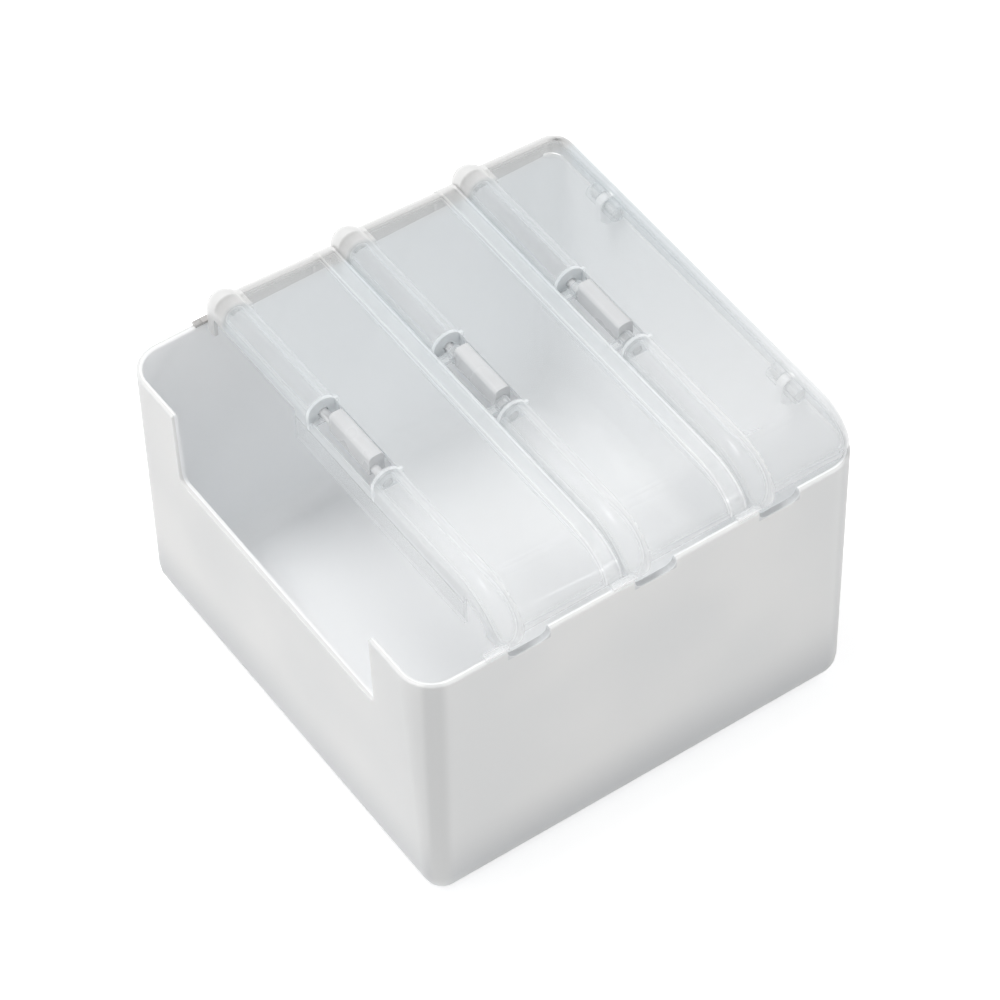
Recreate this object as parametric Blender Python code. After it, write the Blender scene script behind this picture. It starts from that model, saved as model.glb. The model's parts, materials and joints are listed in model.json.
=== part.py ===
# Cable organiser box: a moulded tub under three frosted lid leaves that fold back one over the next.
# Each leaf clips on a bar in its right-hand neighbour's bead, and the last one turns on the tub's right wall.
# Sizes are in metres. X runs to the right, Y to the rear, Z up, from the middle of the tub's underside.

import math

import bmesh
import bpy
from mathutils import Vector

# Tub
tub_width = 0.1643
tub_depth = 0.1654
tub_height = 0.1062
wall = 0.0021
floor_thickness = 0.0025
plan_radius = 0.0120
foot_radius = 0.0070
least_radius = 0.0015
bottom_radius = 0.0110
inner_bottom_radius = 0.0085
rim_rounding = 0.0007
land_width = 0.0080
relief_depth = 0.0008
outer_draft = math.radians(0.35)
inner_draft = math.radians(0.85)
side_draft = math.radians(1.25)

# Cable notch in the left wall, from the tub's front face
notch_front = 0.0280
notch_rear = 0.1365
notch_sill = 0.0752
notch_rounding = 0.0030

# Finger scoops in the front rim, one under each leaf's bead
scoop_width = 0.0153
scoop_depth = 0.0036
scoop_rounding = 0.0030
scoop_shift = 0.0042

# Lid leaves: places from the tub's left and front faces
first_axis = 0.0345
last_reach = 0.0362
axis_rise = 0.0104
leaf_thickness = 0.0015
leaf_rise = 0.0031
leaf_fall = 0.0025
lip_gap = 0.0010
front_inset = 0.0029
rear_inset = 0.0032
side_inset = 0.0010
shoulder_run = 0.0180
rear_rounding = 0.0058
side_rounding = 0.0018
lid_corner = 0.0065
strip_width = 0.0060
strip_step = 0.0005
strip_slope = 0.0004

# Bead along each leaf's left edge
bead_radius = 0.0055
bead_wall = 0.0013
bead_skirt = 0.0025
bead_rear_rounding = 0.0028
bead_end_angle = math.radians(20)
toe_reach = 0.0055
rear_toe_reach = 0.0030
toe_depth = 0.0022
toe_height = 0.0012
toe_lift = 0.0002
rest_gap = 0.0003

# Plate that hangs from each bead, from the tub's front face
plate_front = 0.0200
plate_rear = 0.1110
plate_depth = 0.0156
plate_thickness = 0.0011

# Hinge window in each bead, with its bar
window_centre = 0.0860
window_length = 0.0340
window_depth = 0.0020
window_bite = 0.0003
web_thickness = 0.0013
web_share = 0.9
bar_length = 0.0220
bar_left = 0.0018
bar_right = 0.0036
bar_top = 0.0053
bar_bottom = 0.0021
bar_rounding = 0.0016
journal_radius = 0.0015
running_gap = 0.0003
clip_width = 0.0030
clip_wall = 0.0009
clip_mouth = 0.0024
clip_gap = 0.0004
strap_height = 0.0014

# Hinge on the tub's right wall
hinge_rise = 0.0035
hinge_inset = 0.0031
hinge_spread = 0.0954
ear_width = 0.0030
ear_drop = 0.0052
ear_foot = 0.0026
knuckle_radius = 0.0030
knuckle_width = 0.0050
side_lip_gap = 0.0020
slot_headroom = 0.0040

# One overrun for every cut
overrun = 0.0020

corner_steps = 8
fillet_steps = 6
rounding_steps = 3
shoulder_steps = 10
lid_corner_steps = 12
bead_steps = 12
round_steps = 24

left_x = -tub_width / 2
right_x = tub_width / 2
front_y = -tub_depth / 2
rear_y = tub_depth / 2
lip_z = tub_height + lip_gap
axis_z = tub_height + axis_rise
leaf_right = right_x - side_inset
leaf_pitch = (tub_width - first_axis - side_inset - last_reach) / 2
left_rise = axis_z + leaf_rise - lip_z
leaf_start = (bead_radius - bead_wall / 2) * math.cos(math.asin(leaf_rise / 2 / bead_radius)) - bead_wall / 2
window_front = front_y + window_centre - window_length / 2
window_rear = front_y + window_centre + window_length / 2
bore_radius = journal_radius + running_gap
hinge_x = leaf_right - hinge_inset
hinge_z = tub_height + hinge_rise


def clear_scene():
    for item in list(bpy.data.objects):
        bpy.data.objects.remove(item, do_unlink=True)


def make_material(name, colour, roughness, alpha=1.0):
    material = bpy.data.materials.new(name)
    material.use_nodes = True
    shader = material.node_tree.nodes["Principled BSDF"]
    shader.inputs["Base Color"].default_value = (*colour, 1.0)
    shader.inputs["Roughness"].default_value = roughness
    shader.inputs["Metallic"].default_value = 0.0
    shader.inputs["Alpha"].default_value = alpha
    return material


def object_from(name, bm, material=None, smooth=True):
    bmesh.ops.recalc_face_normals(bm, faces=bm.faces)
    mesh = bpy.data.meshes.new(name)
    bm.to_mesh(mesh)
    bm.free()
    if smooth:
        mesh.shade_smooth()
        mesh.set_sharp_from_angle(angle=math.radians(35))
    item = bpy.data.objects.new(name, mesh)
    bpy.context.scene.collection.objects.link(item)
    if material:
        mesh.materials.append(material)
    return item


def combine(target, tool, operation):
    tool.hide_render = True
    tool.display_type = "WIRE"
    modifier = target.modifiers.new(tool.name, "BOOLEAN")
    modifier.operation = operation
    modifier.solver = "EXACT"
    modifier.object = tool


# Rings and outlines

def ring(half_x, half_y, radius, z):
    points = []
    corners = ((1, 1, 0), (-1, 1, 90), (-1, -1, 180), (1, -1, 270))
    for side_x, side_y, start in corners:
        centre_x = side_x * (half_x - radius)
        centre_y = side_y * (half_y - radius)
        for step in range(corner_steps + 1):
            angle = math.radians(start + 90 * step / corner_steps)
            points.append((centre_x + radius * math.cos(angle), centre_y + radius * math.sin(angle), z))
    return points


def stack_rings(rings):
    bm = bmesh.new()
    rows = [[bm.verts.new(point) for point in points] for points in rings]
    for below, above in zip(rows, rows[1:]):
        for index in range(len(below)):
            following = (index + 1) % len(below)
            bm.faces.new((below[index], below[following], above[following], above[index]))
    bm.faces.new(rows[0])
    bm.faces.new(rows[-1])
    return bm


def prism(outline, place, start, end):
    # place(u, v, along) turns an outline point and a distance along the prism into a position
    bm = bmesh.new()
    near = [bm.verts.new(place(u, v, start)) for u, v in outline]
    far = [bm.verts.new(place(u, v, end)) for u, v in outline]
    for index in range(len(outline)):
        following = (index + 1) % len(outline)
        bm.faces.new((near[index], near[following], far[following], far[index]))
    bm.faces.new(near)
    bm.faces.new(far)
    return bm


def along_x(u, v, distance):
    return (distance, u, v)


def along_y(u, v, distance):
    return (u, distance, v)


def arc(centre_u, centre_v, radius, start, end, steps):
    points = []
    for step in range(steps + 1):
        angle = start + (end - start) * step / steps
        points.append((centre_u + radius * math.cos(angle), centre_v + radius * math.sin(angle)))
    return points


def box(low_x, high_x, low_y, high_y, low_z, high_z):
    outline = [(low_x, low_z), (high_x, low_z), (high_x, high_z), (low_x, high_z)]
    return prism(outline, along_y, low_y, high_y)


def rod(centre_x, centre_z, radius, start_y, end_y):
    outline = arc(centre_x, centre_z, radius, 0, math.tau * (1 - 1 / round_steps), round_steps - 1)
    return prism(outline, along_y, start_y, end_y)


def rounded_notch(low_u, high_u, low_v, high_v, radius):
    # a slot open at the top, with rounded lower corners
    outline = [(high_u, high_v), (low_u, high_v)]
    outline += arc(low_u + radius, low_v + radius, radius, math.pi, 1.5 * math.pi, fillet_steps)
    outline += arc(high_u - radius, low_v + radius, radius, 1.5 * math.pi, math.tau, fillet_steps)
    return outline


# Tub

def tub_rings():
    rings = []

    def add(z, inset, cut):
        # the side walls lean in further than the front and rear ones, and the corners sharpen downwards
        lean = (tub_height - z) * math.tan(side_draft)
        radius = foot_radius + (plan_radius - foot_radius) * z / tub_height - cut
        rings.append(ring(tub_width / 2 - inset - lean, tub_depth / 2 - inset, max(radius, least_radius), z))

    def outer_inset(z):
        return (tub_height - z) * math.tan(outer_draft)

    def inner_inset(z):
        return wall + (tub_height - z) * math.tan(inner_draft)

    foot_inset = outer_inset(0) + bottom_radius
    add(relief_depth, foot_inset + land_width + relief_depth, foot_radius)
    add(0, foot_inset + land_width, foot_radius)
    for step in range(fillet_steps + 1):
        angle = math.pi / 2 * step / fillet_steps
        z = bottom_radius * (1 - math.cos(angle))
        cut = bottom_radius * (1 - math.sin(angle))
        add(z, outer_inset(z) + cut, cut)
    for step in range(rounding_steps + 1):
        angle = math.pi / 2 * step / rounding_steps
        z = tub_height - rim_rounding * (1 - math.sin(angle))
        add(z, outer_inset(z) + rim_rounding * (1 - math.cos(angle)), 0)
    for step in range(rounding_steps + 1):
        angle = math.pi / 2 * (1 - step / rounding_steps)
        z = tub_height - rim_rounding * (1 - math.sin(angle))
        add(z, inner_inset(z) - rim_rounding * (1 - math.cos(angle)), wall)
    floor_top = relief_depth + floor_thickness
    for step in range(fillet_steps + 1):
        angle = math.pi / 2 * (1 - step / fillet_steps)
        z = floor_top + inner_bottom_radius * (1 - math.cos(angle))
        cut = inner_bottom_radius * (1 - math.sin(angle))
        add(z, inner_inset(z) + cut, wall + cut)
    return rings


def ear_places():
    return (-hinge_spread / 2, hinge_spread / 2)


def ear_outline():
    # an upright ear with a round head, on a foot that tapers into the wall's inner face
    outline = arc(hinge_x, hinge_z, knuckle_radius, 0, math.pi, round_steps // 2)
    inner_x = hinge_x - knuckle_radius
    outline += [(inner_x, tub_height - ear_drop + ear_foot), (inner_x + ear_foot, tub_height - ear_drop)]
    outline += [(hinge_x + knuckle_radius, tub_height - ear_drop)]
    return outline


def build_tub(material):
    tub = object_from("tub", stack_rings(tub_rings()), material)
    notch = rounded_notch(front_y + notch_front, front_y + notch_rear, notch_sill,
                          tub_height + overrun, notch_rounding)
    cutter = object_from("cut_notch", prism(notch, along_x, left_x - overrun, left_x + wall + bottom_radius))
    combine(tub, cutter, "DIFFERENCE")
    for number in range(3):
        centre = leaf_axis(number) + scoop_shift
        outline = rounded_notch(centre - scoop_width / 2, centre + scoop_width / 2,
                                tub_height - scoop_depth, tub_height + overrun, scoop_rounding)
        cutter = object_from(f"cut_scoop_{number + 1}",
                             prism(outline, along_y, front_y - overrun, front_y + wall + overrun))
        combine(tub, cutter, "DIFFERENCE")
    for number, y in enumerate(ear_places()):
        ear = object_from(f"add_ear_{number + 1}",
                          prism(ear_outline(), along_y, y - ear_width / 2, y + ear_width / 2))
        combine(tub, ear, "UNION")
        bore = object_from(f"cut_ear_{number + 1}",
                           rod(hinge_x, hinge_z, bore_radius, y - ear_width, y + ear_width))
        combine(tub, bore, "DIFFERENCE")
    return tub


# Lid leaves

def leaf_axis(number):
    return left_x + first_axis + number * leaf_pitch


def leaf_profile(rise, drop, cut):
    # front lip, quarter-ellipse shoulder, flat top, rounded rear edge and rear lip, as (y, z)
    points = []
    top = lip_z + rise - drop
    shoulder_y = front_y + front_inset + shoulder_run
    for step in range(shoulder_steps + 1):
        angle = math.pi / 2 * step / shoulder_steps
        points.append((shoulder_y - (shoulder_run - cut) * math.cos(angle),
                       lip_z + (rise - drop) * math.sin(angle)))
    back = rear_y - rear_inset - cut
    corner = arc(back - rear_rounding, top - rear_rounding, rear_rounding, math.pi / 2, 0, fillet_steps)
    points += corner
    points.append((back, lip_z))
    return points


def corner_cut(x, radius):
    # how far an edge with this rounding has drawn back at x, near the lid's right edge
    share = max(0, 1 - (leaf_right - x) / radius)
    return radius * (1 - math.sqrt(max(0, 1 - share ** 2)))


def leaf_stations(number):
    # (x, rise of the top above the lip, drop of the top, cut from the front and rear ends)
    start = leaf_axis(number) + leaf_start
    reach = leaf_pitch - leaf_start - bead_radius - running_gap

    def rise(x):
        return left_rise - leaf_fall * (x - start) / reach

    if number < 2:
        end = start + reach
        step = end - strip_width
        return [(start, rise(start), 0, 0), (step - strip_slope, rise(step - strip_slope), 0, 0),
                (step, rise(step) + strip_step, 0, 0), (end, rise(end) + strip_step, 0, 0)]
    stations = [(start, rise(start), 0, 0)]
    for step in range(lid_corner_steps + 1):
        angle = math.pi / 2 * step / lid_corner_steps
        x = leaf_right - lid_corner * (1 - math.sin(angle))
        stations.append((x, rise(x), corner_cut(x, side_rounding), corner_cut(x, lid_corner)))
    return stations


def leaf_skin(number):
    bm = bmesh.new()
    rows = []
    for x, rise, drop, cut in leaf_stations(number):
        rows.append([bm.verts.new((x, y, z)) for y, z in leaf_profile(rise, drop, cut)])
    for near, far in zip(rows, rows[1:]):
        for index in range(len(near) - 1):
            bm.faces.new((near[index], near[index + 1], far[index + 1], far[index]))
    if number == 2:
        bm.faces.new(rows[-1])
    return bm


def bead_path():
    # points and outward normals, as (y, z, normal y, normal z), from the front foot to the rear foot
    foot = tub_height + rest_gap
    centre_y = front_y + front_inset + shoulder_run
    run = shoulder_run - leaf_rise
    rise = left_rise - leaf_rise
    path = [(centre_y - run, foot, -1, 0)]
    for step in range(shoulder_steps + 1):
        angle = math.pi / 2 * step / shoulder_steps
        normal = Vector((-math.cos(angle) / run, math.sin(angle) / rise)).normalized()
        path.append((centre_y - run * math.cos(angle), lip_z + rise * math.sin(angle), *normal))
    back = rear_y - rear_inset - leaf_rise
    for step in range(fillet_steps + 1):
        angle = math.pi / 2 * (1 - step / fillet_steps)
        path.append((back - bead_rear_rounding * (1 - math.cos(angle)),
                     axis_z - bead_rear_rounding * (1 - math.sin(angle)),
                     math.cos(angle), math.sin(angle)))
    path.append((back, foot, 1, 0))
    return path


def bead_section():
    # a half-round shell with a straight left side, as (x, distance along the normal)
    inner = bead_radius - bead_wall
    section = [(-bead_radius, -bead_skirt)]
    section += arc(0, 0, bead_radius, math.pi, bead_end_angle, bead_steps)
    section += arc(0, 0, inner, bead_end_angle, math.pi, bead_steps)
    section.append((-inner, -bead_skirt))
    return section


def bead_mesh(number):
    bm = bmesh.new()
    rows = []
    for y, z, normal_y, normal_z in bead_path():
        rows.append([bm.verts.new((leaf_axis(number) + across, y + out * normal_y, z + out * normal_z))
                     for across, out in bead_section()])
    for near, far in zip(rows, rows[1:]):
        for index in range(len(near)):
            following = (index + 1) % len(near)
            bm.faces.new((near[index], near[following], far[following], far[index]))
    bm.faces.new(rows[0])
    bm.faces.new(rows[-1])
    return bm


def web_outline(number):
    # the bead's end wall beside the window: a disc cut off level with the bead's skirt
    radius = bead_radius - bead_wall / 2
    below = math.asin(bead_skirt / radius) * web_share
    return arc(leaf_axis(number), axis_z, radius, -below, math.pi + below, bead_steps)


def add_hinge_window(leaf, number):
    label = number + 1
    axis = leaf_axis(number)
    webs = ((window_front - web_thickness, window_front + overrun),
            (window_rear - overrun, window_rear + web_thickness))
    for side, (start, end) in zip(("front", "rear"), webs):
        web = object_from(f"add_web_{label}_{side}", prism(web_outline(number), along_y, start, end))
        combine(leaf, web, "UNION")
    opening = object_from(f"cut_window_{label}",
                          box(axis - bead_radius - overrun, axis + leaf_start + window_bite,
                              window_front, window_rear,
                              axis_z - window_depth, axis_z + bead_radius + overrun))
    combine(leaf, opening, "DIFFERENCE")
    sockets = object_from(f"cut_sockets_{label}",
                          rod(axis, axis_z, bore_radius, window_front - web_thickness - overrun,
                              window_rear + web_thickness + overrun))
    combine(leaf, sockets, "DIFFERENCE")


def clip_places():
    front = front_y + window_centre - bar_length / 2 - clip_gap - clip_width
    rear = front_y + window_centre + bar_length / 2 + clip_gap
    return (front, rear)


def add_clips(leaf, number):
    # two open clips on the right edge, which snap on the neighbour's bar beside its middle
    label = number + 1
    axis = leaf_axis(number + 1)
    outer = bore_radius + clip_wall
    neck = math.pi - math.asin(strap_height / 2 / outer)
    edge = axis - bead_radius - running_gap
    outline = arc(axis, axis_z, outer, -neck, neck, round_steps)
    outline += [(edge - leaf_thickness, axis_z + strap_height / 2),
                (edge - leaf_thickness, axis_z - strap_height / 2)]
    for side, start in zip(("front", "rear"), clip_places()):
        end = start + clip_width
        clip = object_from(f"add_clip_{label}_{side}", prism(outline, along_y, start, end))
        combine(leaf, clip, "UNION")
        bore = object_from(f"cut_clip_{label}_{side}",
                           rod(axis, axis_z, bore_radius, start - clip_gap / 2, end + clip_gap / 2))
        combine(leaf, bore, "DIFFERENCE")
        mouth = object_from(f"cut_mouth_{label}_{side}",
                            box(axis - clip_mouth / 2, axis + clip_mouth / 2,
                                start - clip_gap / 2, end + clip_gap / 2,
                                axis_z - outer - overrun, axis_z))
        combine(leaf, mouth, "DIFFERENCE")


def add_side_hinge(leaf):
    # the last leaf's right wall stops above the rim and carries a knuckle on each side of each ear
    label = "side"
    gap = object_from("cut_side_lip",
                      box(hinge_x - knuckle_radius, leaf_right + overrun, front_y, rear_y,
                          tub_height, tub_height + side_lip_gap))
    combine(leaf, gap, "DIFFERENCE")
    half = ear_width / 2 + running_gap + knuckle_width
    for number, y in enumerate(ear_places()):
        knuckles = object_from(f"add_knuckles_{label}_{number + 1}",
                               rod(hinge_x, hinge_z, knuckle_radius, y - half, y + half))
        combine(leaf, knuckles, "UNION")
        slot = object_from(f"cut_slot_{label}_{number + 1}",
                           box(hinge_x - knuckle_radius - overrun, leaf_right + overrun,
                               y - ear_width / 2 - running_gap, y + ear_width / 2 + running_gap,
                               tub_height, hinge_z + slot_headroom))
        combine(leaf, slot, "DIFFERENCE")
        bore = object_from(f"cut_knuckle_{label}_{number + 1}",
                           rod(hinge_x, hinge_z, bore_radius, y - half - overrun, y + half + overrun))
        combine(leaf, bore, "DIFFERENCE")


def build_leaf(number, material):
    label = number + 1
    leaf = object_from(f"leaf_{label}", leaf_skin(number), material)
    shell = leaf.modifiers.new("shell", "SOLIDIFY")
    shell.thickness = leaf_thickness
    shell.offset = -1
    shell.use_even_offset = True
    bead = object_from(f"add_bead_{label}", bead_mesh(number))
    combine(leaf, bead, "UNION")
    axis = leaf_axis(number)
    middle = axis - bead_radius + bead_wall / 2
    plate = object_from(f"add_plate_{label}",
                        box(middle - plate_thickness / 2, middle + plate_thickness / 2,
                            front_y + plate_front, front_y + plate_rear,
                            axis_z - plate_depth, axis_z - bead_skirt / 2))
    combine(leaf, plate, "UNION")
    toes = (("front", front_y + rest_gap, toe_reach),
            ("rear", rear_y - rest_gap - toe_depth, rear_toe_reach))
    for side, y, reach in toes:
        toe = object_from(f"add_toe_{label}_{side}",
                          box(axis - bead_radius - reach, axis - bead_radius / 2, y, y + toe_depth,
                              tub_height + rest_gap + toe_lift, tub_height + rest_gap + toe_height))
        combine(leaf, toe, "UNION")
    add_hinge_window(leaf, number)
    if number < 2:
        add_clips(leaf, number)
    else:
        add_side_hinge(leaf)
    return leaf


# Hinge bars and pins

def build_bar(number, material):
    label = number + 1
    axis = leaf_axis(number)
    low = axis_z - bar_bottom
    high = axis_z + bar_top
    outline = [(axis - bar_left, low), (axis + bar_right, low)]
    outline += arc(axis + bar_right - bar_rounding, high - bar_rounding, bar_rounding,
                   0, math.pi / 2, fillet_steps)
    outline += arc(axis - bar_left + bar_rounding, high - bar_rounding, bar_rounding,
                   math.pi / 2, math.pi, fillet_steps)
    middle = front_y + window_centre
    bar = object_from(f"hinge_bar_{label}",
                      prism(outline, along_y, middle - bar_length / 2, middle + bar_length / 2), material)
    journal = object_from(f"add_journal_{label}",
                          rod(axis, axis_z, journal_radius, window_front - web_thickness,
                              window_rear + web_thickness))
    combine(bar, journal, "UNION")
    return bar


def build_pins(material):
    half = ear_width / 2 + running_gap + knuckle_width
    for name, y in zip(("hinge_pin_front", "hinge_pin_rear"), ear_places()):
        object_from(name, rod(hinge_x, hinge_z, journal_radius, y - half, y + half), material)


def main():
    clear_scene()
    tub_white = make_material("tub_white", (0.80, 0.81, 0.80), 0.42)
    frosted = make_material("frosted_clear", (0.82, 0.85, 0.87), 0.30, 0.55)
    natural = make_material("bar_natural", (0.86, 0.86, 0.85), 0.35)
    pin = make_material("pin_white", (0.78, 0.79, 0.79), 0.40)
    build_tub(tub_white)
    for number in range(3):
        build_leaf(number, frosted.copy())
        build_bar(number, natural.copy())
    build_pins(pin)


main()
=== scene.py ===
import json
import math

import bmesh
import bpy
from mathutils import Matrix, Vector


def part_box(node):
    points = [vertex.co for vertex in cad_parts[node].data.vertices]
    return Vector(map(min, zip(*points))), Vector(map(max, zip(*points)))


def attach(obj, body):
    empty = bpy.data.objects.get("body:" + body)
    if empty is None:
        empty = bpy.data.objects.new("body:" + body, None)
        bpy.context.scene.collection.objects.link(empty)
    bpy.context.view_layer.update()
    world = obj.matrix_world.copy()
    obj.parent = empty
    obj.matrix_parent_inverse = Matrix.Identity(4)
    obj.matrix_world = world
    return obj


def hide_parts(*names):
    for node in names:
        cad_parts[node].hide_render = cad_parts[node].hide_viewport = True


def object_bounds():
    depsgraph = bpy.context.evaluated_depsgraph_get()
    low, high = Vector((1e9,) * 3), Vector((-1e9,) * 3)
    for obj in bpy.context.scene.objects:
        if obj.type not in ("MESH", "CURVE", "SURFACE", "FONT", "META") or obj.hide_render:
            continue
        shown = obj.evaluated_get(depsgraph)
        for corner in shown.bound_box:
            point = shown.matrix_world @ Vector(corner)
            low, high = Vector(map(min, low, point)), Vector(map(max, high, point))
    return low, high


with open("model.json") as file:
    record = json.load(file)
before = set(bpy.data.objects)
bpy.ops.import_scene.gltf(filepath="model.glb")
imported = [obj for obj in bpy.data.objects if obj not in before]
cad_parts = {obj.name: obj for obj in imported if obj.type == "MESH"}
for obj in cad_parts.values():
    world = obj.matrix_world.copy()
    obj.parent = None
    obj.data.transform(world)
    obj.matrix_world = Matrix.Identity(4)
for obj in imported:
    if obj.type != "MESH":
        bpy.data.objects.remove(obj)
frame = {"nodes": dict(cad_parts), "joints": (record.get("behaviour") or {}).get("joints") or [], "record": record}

cadLow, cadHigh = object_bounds()
nodes = frame["nodes"]
bodyOf = {name: body for body, names in frame["record"]["behaviour"]["bodies"].items() for name in names}

# leaf 1 turns about leaf 2's bead, and leaf 2 about leaf 3's, so the joints give the beads' places
jointAt = {joint["name"]: Vector(joint["pos_m"]) for joint in frame["joints"]}
secondBead = jointAt["leaf_1_hinge"]
thirdBead = jointAt["leaf_2_hinge"]
leafPitch = thirdBead.x - secondBead.x
beadAxes = (secondBead.x - leafPitch, secondBead.x, thirdBead.x)
rimTop = secondBead.z - 0.0104  # the beads' axes stand this far above the tub's rim
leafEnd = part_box("leaf_1")[1].y
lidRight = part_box("leaf_3")[1].x
barLow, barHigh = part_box("hinge_bar_1")
print("cable box: frame loaded,", len(nodes), "nodes")


# helpers for node trees

def newMaterial(name):
    material = bpy.data.materials.new(name)
    material.use_nodes = True
    tree = material.node_tree
    return material, tree, tree.nodes["Principled BSDF"]


def addNode(tree, kind, **settings):
    node = tree.nodes.new(kind)
    for key, value in settings.items():
        setattr(node, key, value)
    return node


def mathNode(tree, operation, *values, clamp=False):
    # each value is a socket or a number
    node = addNode(tree, "ShaderNodeMath", operation=operation, use_clamp=clamp)
    for socket, value in zip(node.inputs, values):
        if isinstance(value, (int, float)):
            socket.default_value = value
        else:
            tree.links.new(value, socket)
    return node.outputs["Value"]


def ramp(tree, value, low, high, lowOut=0.0, highOut=1.0):
    # a soft step from lowOut to highOut as value goes from low to high
    node = addNode(tree, "ShaderNodeMapRange", interpolation_type="SMOOTHSTEP")
    tree.links.new(value, node.inputs["Value"])
    node.inputs["From Min"].default_value = low
    node.inputs["From Max"].default_value = high
    node.inputs["To Min"].default_value = lowOut
    node.inputs["To Max"].default_value = highOut
    return node.outputs["Result"]


def bandMask(tree, value, low, high, soft):
    # one between low and high, with soft ends
    rising = ramp(tree, value, low - soft, low + soft)
    falling = ramp(tree, value, high - soft, high + soft, 1.0, 0.0)
    return mathNode(tree, "MULTIPLY", rising, falling)


def mixColour(tree, factor, first, second):
    node = addNode(tree, "ShaderNodeMix", data_type="RGBA")
    tree.links.new(factor, node.inputs["Factor"])
    for socket, value in ((node.inputs["A"], first), (node.inputs["B"], second)):
        if isinstance(value, tuple):
            socket.default_value = (*value, 1.0)
        else:
            tree.links.new(value, socket)
    return node.outputs["Result"]


def objectPlace(tree):
    # the X, Y and Z sockets of a point's place in the object
    coordinates = addNode(tree, "ShaderNodeTexCoord")
    split = addNode(tree, "ShaderNodeSeparateXYZ")
    tree.links.new(coordinates.outputs["Object"], split.inputs["Vector"])
    return split.outputs


# the moulded surface that all the plastics share

surface = {
    "grainDetail": 2.0,
    "cloudDetail": 1.5,
    "cloudRoughness": 0.4,
    "cloudBand": (0.3, 0.7),
    "roughnessSpread": 0.04,
}


def makeMouldedSkin(look):
    # fine mould grain, and the slow cloudy tone of moulded polypropylene
    group = bpy.data.node_groups.new("mouldedSkin", "ShaderNodeTree")
    face = group.interface
    for name in ("Grain Scale", "Cloud Scale"):
        face.new_socket(name=name, in_out="INPUT", socket_type="NodeSocketFloat")
    for name in ("Grain", "Cloud"):
        face.new_socket(name=name, in_out="OUTPUT", socket_type="NodeSocketFloat")
    given = group.nodes.new("NodeGroupInput")
    result = group.nodes.new("NodeGroupOutput")
    place = group.nodes.new("ShaderNodeTexCoord")
    grain = addNode(group, "ShaderNodeTexNoise")
    grain.inputs["Detail"].default_value = look["grainDetail"]
    cloud = addNode(group, "ShaderNodeTexNoise")
    cloud.inputs["Detail"].default_value = look["cloudDetail"]
    cloud.inputs["Roughness"].default_value = look["cloudRoughness"]
    for node, scale in ((grain, "Grain Scale"), (cloud, "Cloud Scale")):
        group.links.new(place.outputs["Object"], node.inputs["Vector"])
        group.links.new(given.outputs[scale], node.inputs["Scale"])
    group.links.new(grain.outputs["Fac"], result.inputs["Grain"])
    group.links.new(cloud.outputs["Fac"], result.inputs["Cloud"])
    return group


mouldedSkin = makeMouldedSkin(surface)


def addSkin(tree, shader, look):
    # grain as bump and a cloudy roughness, with the cloud returned for the colour
    skin = addNode(tree, "ShaderNodeGroup", node_tree=mouldedSkin)
    skin.inputs["Grain Scale"].default_value = look["grainScale"]
    skin.inputs["Cloud Scale"].default_value = look["cloudScale"]
    bump = addNode(tree, "ShaderNodeBump")
    bump.inputs["Strength"].default_value = look["grainStrength"]
    bump.inputs["Distance"].default_value = look["grainDepth"]
    tree.links.new(skin.outputs["Grain"], bump.inputs["Height"])
    tree.links.new(bump.outputs["Normal"], shader.inputs["Normal"])
    satin = look["roughness"] - surface["roughnessSpread"]
    dull = look["roughness"] + surface["roughnessSpread"]
    roughness = ramp(tree, skin.outputs["Cloud"], *surface["cloudBand"], satin, dull)
    tree.links.new(roughness, shader.inputs["Roughness"])
    return ramp(tree, skin.outputs["Cloud"], *surface["cloudBand"])


# tub

tubLook = {
    "pale": (0.765, 0.765, 0.76),
    "cloudy": (0.735, 0.74, 0.74),
    # painted light: the inner faces are lighter and bluer
    "inside": (0.935, 0.956, 0.974),
    "scoopShade": (0.62, 0.63, 0.64),
    "scoopMiddle": secondBead.x + 0.0042,
    "scoopSide": (0.0074, 0.0080),
    "scoopFloor": (rimTop - 0.0040, rimTop - 0.0038),
    "scoopFront": (cadLow.y + 0.0045, cadLow.y + 0.0047),
    # painted shade at the foot of the outer walls
    "low": (0.60, 0.61, 0.62),
    "footShadeBand": (0.006, 0.034),
    # painted shade on the front wall beside its corners
    "cornerShade": (0.66, 0.665, 0.665),
    "cornerShadeBand": (cadHigh.x - 0.00863, cadHigh.x - 0.00213),
    "cornerSoft": 0.0016,
    "frontFace": (cadLow.y + 0.0032, cadLow.y + 0.0052),
    "toWallMiddle": (0.00103, 0.00105),
    "lean": (0.0323, 0.01048),
    "cornerAtFoot": 0.006,
    "cornerSlope": 0.047,
    "middleOfFloor": 0.0018,
    "insideSoft": 0.0001,
    "depthOfGlow": 0.0018,
    "roughness": 0.42,
    "grainScale": 2600.0,
    "grainStrength": 0.25,
    "grainDepth": 0.00006,
    "cloudScale": 22.0,
}


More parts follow.
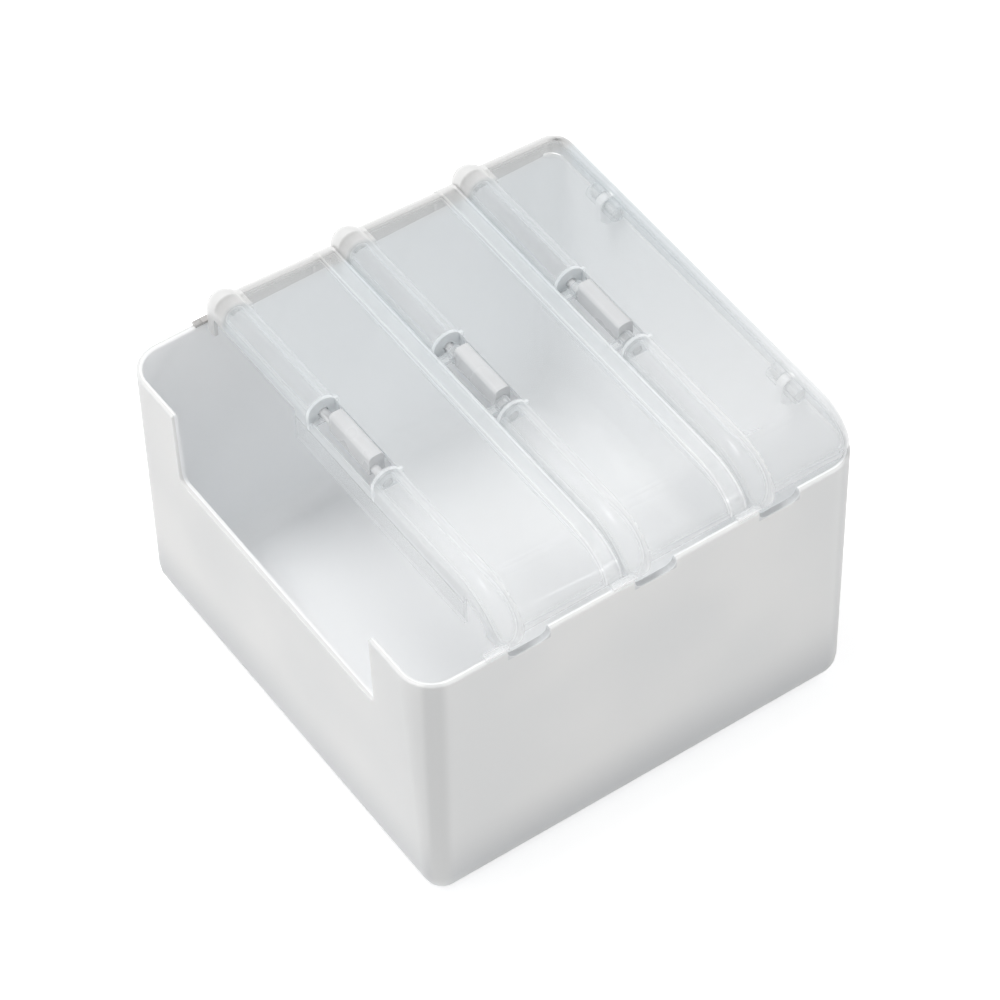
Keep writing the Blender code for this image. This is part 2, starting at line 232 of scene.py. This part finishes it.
def insideLightMask(tree, place, look):
    # one on the tub's inner faces, which get painted light: inside a round-cornered box through the middle of the
    # wall
    height = place["Z"]
    corner = mathNode(tree, "MULTIPLY_ADD", height, look["cornerSlope"], look["cornerAtFoot"])
    outward = []
    for axis, half, inset, lean in zip("XY", cadHigh, look["toWallMiddle"], look["lean"]):
        reach = mathNode(tree, "ABSOLUTE", place[axis])
        wall = mathNode(tree, "MULTIPLY_ADD", height, lean, half - inset - lean * rimTop)
        outward.append(mathNode(tree, "ADD", mathNode(tree, "SUBTRACT", reach, wall), corner))
    squares = [mathNode(tree, "POWER", mathNode(tree, "MAXIMUM", side, 0.0), 2.0) for side in outward]
    rounded = mathNode(tree, "SQRT", mathNode(tree, "ADD", *squares))
    flat = mathNode(tree, "MINIMUM", mathNode(tree, "MAXIMUM", *outward), 0.0)
    depth = mathNode(tree, "SUBTRACT", corner, mathNode(tree, "ADD", rounded, flat))
    depth = mathNode(tree, "MINIMUM", depth, mathNode(tree, "SUBTRACT", height, look["middleOfFloor"]))
    return ramp(tree, depth, -look["insideSoft"], look["insideSoft"])


def scoopMask(tree, place, look):
    # one in the front rim's scoops, where the lid's lip keeps the light out
    shifted = mathNode(tree, "SUBTRACT", place["X"], look["scoopMiddle"])
    across = ramp(tree, mathNode(tree, "PINGPONG", shifted, leafPitch / 2), *look["scoopSide"], 1.0, 0.0)
    above = ramp(tree, place["Z"], *look["scoopFloor"])
    ahead = ramp(tree, place["Y"], *look["scoopFront"], 1.0, 0.0)
    return mathNode(tree, "MULTIPLY", mathNode(tree, "MULTIPLY", across, above), ahead)


def makeTubWhite(look):
    material, tree, shader = newMaterial("tubWhite")
    cloud = addSkin(tree, shader, look)
    place = objectPlace(tree)
    colour = mixColour(tree, cloud, look["pale"], look["cloudy"])
    # painted shade: the outer walls darken towards the foot, and the front one darkens where it turns into its
    # corners
    colour = mixColour(tree, ramp(tree, place["Z"], *look["footShadeBand"]), look["low"], colour)
    # painted shade: a darker band on the front wall just beside each front corner
    corner = bandMask(tree, mathNode(tree, "ABSOLUTE", place["X"]), *look["cornerShadeBand"], look["cornerSoft"])
    ahead = ramp(tree, place["Y"], *look["frontFace"], 1.0, 0.0)
    colour = mixColour(tree, mathNode(tree, "MULTIPLY", corner, ahead), colour, look["cornerShade"])
    # painted light: the inner faces are painted lighter and bluer, standing in for light that comes through the
    # lid and walls
    colour = mixColour(tree, insideLightMask(tree, place, look), colour, look["inside"])
    colour = mixColour(tree, scoopMask(tree, place, look), colour, look["scoopShade"])
    tree.links.new(colour, shader.inputs["Base Color"])
    shader.inputs["Subsurface Weight"].default_value = 1.0
    shader.inputs["Subsurface Radius"].default_value = (1.0, 1.0, 1.0)
    shader.inputs["Subsurface Scale"].default_value = look["depthOfGlow"]
    return material


# leaves

leafLook = {
    "pale": (0.95, 0.96, 0.965),
    "cloudy": (0.92, 0.935, 0.945),
    # painted shade towards the rear of the sheet, its rear lip and its rear edge
    "rearShadeTone": (0.79, 0.83, 0.85),
    "rearLipShade": (0.75, 0.75, 0.745),
    "rearEdgeShade": (0.50, 0.49, 0.48),
    "rearEdgeBand": (leafEnd - 0.0035, leafEnd - 0.0030),
    "facingBand": (0.1, 0.9),
    "alphaFacing": 0.10,
    "alphaGrazing": 0.75,
    "shoulderAlpha": 0.07,
    "shoulderBand": (0.0064 - leafEnd, leafEnd - 0.0324),
    "edgeAlpha": 0.45,
    "rearBand": (leafEnd - 0.0096, leafEnd - 0.0076),
    "rightBand": (lidRight - 0.00435, lidRight - 0.00235),
    "stripAlpha": 0.10,
    "stripFromNext": (-0.0118, -0.0058),
    "stripLineAlpha": 0.35,
    "stripLine": 0.00035,
    "plateShare": 0.35,
    "plateTop": (secondBead.z - 0.0062, secondBead.z - 0.0046),
    "plateEnd": (leafEnd - 0.0199, leafEnd - 0.0174),
    "beadReach": (0.0056, 0.0059),
    "beadEndAlpha": 0.45,
    "beadEnd": (leafEnd - 0.0154, leafEnd - 0.0124),
    "webAlpha": 0.40,
    "webThick": 0.0013,
    "webSoft": 0.0002,
    "roughness": 0.34,
    "coat": 0.4,
    "coatRoughness": 0.12,
    "grainScale": 1900.0,
    "grainStrength": 0.06,
    "grainDepth": 0.00005,
    "cloudScale": 30.0,
}


def leafColour(tree, cloud, along, look):
    # painted shade: the sheet is darker towards the rear, darker again from the bead ends back, and darkest on its
    # rear edge
    colour = mixColour(tree, cloud, look["pale"], look["cloudy"])
    front = ramp(tree, along, *look["shoulderBand"], 1.0, 0.0)
    colour = mixColour(tree, front, look["rearShadeTone"], colour)
    colour = mixColour(tree, ramp(tree, along, *look["beadEnd"]), colour, look["rearLipShade"])
    return mixColour(tree, ramp(tree, along, *look["rearEdgeBand"]), colour, look["rearEdgeShade"])


def edgeMasks(tree, place, number, look):
    # what the front shoulder and the leaf's edges add to its opacity
    masks = [(ramp(tree, place["Y"], *look["shoulderBand"], 1.0, 0.0), look["shoulderAlpha"]),
             (ramp(tree, place["Y"], *look["rearBand"]), look["edgeAlpha"])]
    if number == len(beadAxes) - 1:
        masks.append((ramp(tree, place["X"], *look["rightBand"]), look["edgeAlpha"]))
        return masks
    # the other leaves end in a strip beside the next bead, with a light line along each side
    left, right = (beadAxes[number + 1] + reach for reach in look["stripFromNext"])
    thin = look["stripLine"]
    masks.append((bandMask(tree, place["X"], left, right, thin), look["stripAlpha"]))
    for middle in (left, right - 2 * thin):
        line = bandMask(tree, place["X"], middle - thin, middle + thin, thin)
        masks.append((line, look["stripLineAlpha"]))
    return masks


def beadMasks(tree, place, number, below, look):
    # the webs at the window's ends make a light arc over the bead, and its rear end is closed
    fromAxis = mathNode(tree, "ABSOLUTE", mathNode(tree, "SUBTRACT", place["X"], beadAxes[number]))
    onBead = ramp(tree, fromAxis, *look["beadReach"], 1.0, 0.0)
    onCrown = mathNode(tree, "MULTIPLY", onBead, mathNode(tree, "SUBTRACT", 1.0, below))
    masks = []
    for start in (barLow.y, barHigh.y - look["webThick"]):
        web = bandMask(tree, place["Y"], start, start + look["webThick"], look["webSoft"])
        masks.append((mathNode(tree, "MULTIPLY", web, onCrown), look["webAlpha"]))
    end = mathNode(tree, "MULTIPLY", ramp(tree, place["Y"], *look["beadEnd"]), onBead)
    masks.append((end, look["beadEndAlpha"]))
    return masks


def makeLeafFrosted(number, look):
    material, tree, shader = newMaterial(f"leafFrosted{number + 1}")
    cloud = addSkin(tree, shader, look)
    place = objectPlace(tree)
    tree.links.new(leafColour(tree, cloud, place["Y"], look), shader.inputs["Base Color"])
    # a sheet seen at a slant is looked through lengthwise, so it holds back more, as frosted glass does
    slant = addNode(tree, "ShaderNodeLayerWeight").outputs["Facing"]
    alpha = ramp(tree, slant, *look["facingBand"], look["alphaFacing"], look["alphaGrazing"])
    # the plate, webs and clips under the bead are thin
    below = ramp(tree, place["Z"], *look["plateTop"], 1.0, 0.0)
    near = ramp(tree, mathNode(tree, "ABSOLUTE", place["Y"]), *look["plateEnd"], 1.0, 0.0)
    thin = mathNode(tree, "MULTIPLY", mathNode(tree, "MULTIPLY", below, near), 1.0 - look["plateShare"])
    alpha = mathNode(tree, "MULTIPLY", alpha, mathNode(tree, "SUBTRACT", 1.0, thin))
    masks = edgeMasks(tree, place, number, look) + beadMasks(tree, place, number, below, look)
    for mask, amount in masks:
        alpha = mathNode(tree, "ADD", alpha, mathNode(tree, "MULTIPLY", mask, amount), clamp=True)
    tree.links.new(alpha, shader.inputs["Alpha"])
    shader.inputs["Coat Weight"].default_value = look["coat"]
    shader.inputs["Coat Roughness"].default_value = look["coatRoughness"]
    return material


# bars and pins

barLook = {
    "pale": (0.78, 0.79, 0.80),
    "cloudy": (0.74, 0.75, 0.76),
    "alpha": 0.75,
    "roughness": 0.3,
    "grainScale": 3000.0,
    "grainStrength": 0.15,
    "grainDepth": 0.00004,
    "cloudScale": 120.0,
}

pinLook = {
    "pale": (0.80, 0.81, 0.81),
    "cloudy": (0.76, 0.77, 0.77),
    "alpha": 1.0,
    "roughness": 0.36,
    "grainScale": 3000.0,
    "grainStrength": 0.15,
    "grainDepth": 0.00004,
    "cloudScale": 160.0,
}


def makePlainPlastic(name, look):
    material, tree, shader = newMaterial(name)
    cloud = addSkin(tree, shader, look)
    colour = mixColour(tree, cloud, look["pale"], look["cloudy"])
    tree.links.new(colour, shader.inputs["Base Color"])
    shader.inputs["Alpha"].default_value = look["alpha"]
    return material


finishes = {
    "tub": makeTubWhite(tubLook),
    "leaf_1": makeLeafFrosted(0, leafLook),
    "leaf_2": makeLeafFrosted(1, leafLook),
    "leaf_3": makeLeafFrosted(2, leafLook),
    "hinge_bar": makePlainPlastic("barNatural", barLook),
    "hinge_pin": makePlainPlastic("pinWhite", pinLook),
}
print("cable box:", len(finishes), "finishes made")


# the pieces that are shown

skinShape = {
    "merge": 0.000002,
    "flatAngle": math.radians(0.4),
    "creaseAngle": math.radians(32.0),
}


def makeSkin(nodeName, body, material, shape):
    # the moulding's outer skin: the solid's own faces, joined and shaded round over its curves
    source = nodes[nodeName]
    bm = bmesh.new()
    bm.from_mesh(source.data)
    bmesh.ops.remove_doubles(bm, verts=bm.verts, dist=shape["merge"])
    bmesh.ops.dissolve_limit(bm, angle_limit=shape["flatAngle"], verts=bm.verts, edges=bm.edges)
    bmesh.ops.recalc_face_normals(bm, faces=bm.faces)
    mesh = bpy.data.meshes.new(nodeName + "Skin")
    bm.to_mesh(mesh)
    bm.free()
    mesh.shade_smooth()
    mesh.set_sharp_from_angle(angle=shape["creaseAngle"])
    piece = bpy.data.objects.new(nodeName + "Skin", mesh)
    bpy.context.scene.collection.objects.link(piece)
    mesh.materials.append(material)
    weights = piece.modifiers.new("roundShading", "WEIGHTED_NORMAL")
    weights.mode = "FACE_AREA"
    weights.keep_sharp = True
    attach(piece, body)
    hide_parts(nodeName)


for nodeName in nodes:
    for kind, material in finishes.items():
        if nodeName.startswith(kind):
            makeSkin(nodeName, bodyOf[nodeName], material, skinShape)
print("cable box:", len(nodes), "skins made")


# floor, light and camera

studio = {
    "white": (1.0, 1.0, 1.0, 1.0),
    "floorSize": 6.0,
    "floorColour": (0.90, 0.90, 0.90, 1.0),
    "floorRoughness": 0.9,
    "floorGlow": 0.45,
    "skyLevel": 0.61,
    "lampsAim": (0.0, 0.0, 0.06),
}

lamps = {
    # name: (place, size, watts)
    "keyLamp": ((-0.56, 0.36, 2.18), 0.6, 24.5),
    "glintLamp": ((0.73, -1.47, 1.03), 0.15, 2.5),
}

cameraFit = {
    "place": (-0.56414, -0.84213, 1.24127),
    "azimuth": -33.953,
    "elevation": 49.317,
    "roll": -1.269,
    "lens": 177.99,
    "sensor": 36.0,
    "clip": (0.05, 20.0),
}


def seenDirectly(tree):
    # one for camera, glossy and transmission rays, which see the white backdrop
    path = addNode(tree, "ShaderNodeLightPath")
    seen = mathNode(tree, "MAXIMUM", path.outputs["Is Camera Ray"], path.outputs["Is Glossy Ray"])
    return mathNode(tree, "MAXIMUM", seen, path.outputs["Is Transmission Ray"])


def makeFloor(look):
    bpy.ops.mesh.primitive_plane_add(size=look["floorSize"])
    floor = bpy.context.object
    floor.name = "studioFloor"
    material, tree, shader = newMaterial("floorWhite")
    shader.inputs["Base Color"].default_value = look["floorColour"]
    shader.inputs["Roughness"].default_value = look["floorRoughness"]
    shader.inputs["Specular IOR Level"].default_value = 0.0
    shader.inputs["Emission Color"].default_value = look["white"]
    glow = mathNode(tree, "MULTIPLY", seenDirectly(tree), look["floorGlow"])
    tree.links.new(glow, shader.inputs["Emission Strength"])
    floor.data.materials.append(material)


def makeSky(look):
    world = bpy.data.worlds.new("studioSky")
    world.use_nodes = True
    tree = world.node_tree
    background = tree.nodes["Background"]
    background.inputs["Color"].default_value = look["white"]
    level = ramp(tree, seenDirectly(tree), 0.0, 1.0, look["skyLevel"], 1.0)
    tree.links.new(level, background.inputs["Strength"])
    bpy.context.scene.world = world


def makeLamps(table, aim):
    for name, (place, size, watts) in table.items():
        light = bpy.data.lights.new(name, "AREA")
        light.shape = "SQUARE"
        light.size = size
        light.energy = watts
        lamp = bpy.data.objects.new(name, light)
        bpy.context.scene.collection.objects.link(lamp)
        lamp.location = place
        lamp.rotation_mode = "QUATERNION"
        lamp.rotation_quaternion = (Vector(aim) - Vector(place)).to_track_quat("-Z", "Y")


def makeCamera(fit):
    # back points from the object to the camera
    azimuth = math.radians(fit["azimuth"])
    elevation = math.radians(fit["elevation"])
    back = Vector((math.sin(azimuth) * math.cos(elevation),
                   -math.cos(azimuth) * math.cos(elevation),
                   math.sin(elevation)))
    right = back.cross(Vector((0.0, 0.0, -1.0))).normalized()
    down = right.cross(back)
    turned = Matrix((right, -down, back)).transposed()
    turned = turned @ Matrix.Rotation(math.radians(fit["roll"]), 3, "Z")
    data = bpy.data.cameras.new("photoCamera")
    data.sensor_width = fit["sensor"]
    data.lens = fit["lens"]
    data.clip_start, data.clip_end = fit["clip"]
    camera = bpy.data.objects.new("photoCamera", data)
    bpy.context.scene.collection.objects.link(camera)
    camera.rotation_mode = "QUATERNION"
    camera.location = fit["place"]
    camera.rotation_quaternion = turned.to_quaternion()
    bpy.context.scene.camera = camera


makeFloor(studio)
makeSky(studio)
makeLamps(lamps, studio["lampsAim"])
makeCamera(cameraFit)
bpy.context.scene.view_settings.view_transform = "Standard"
print("cable box: floor, light and camera set")
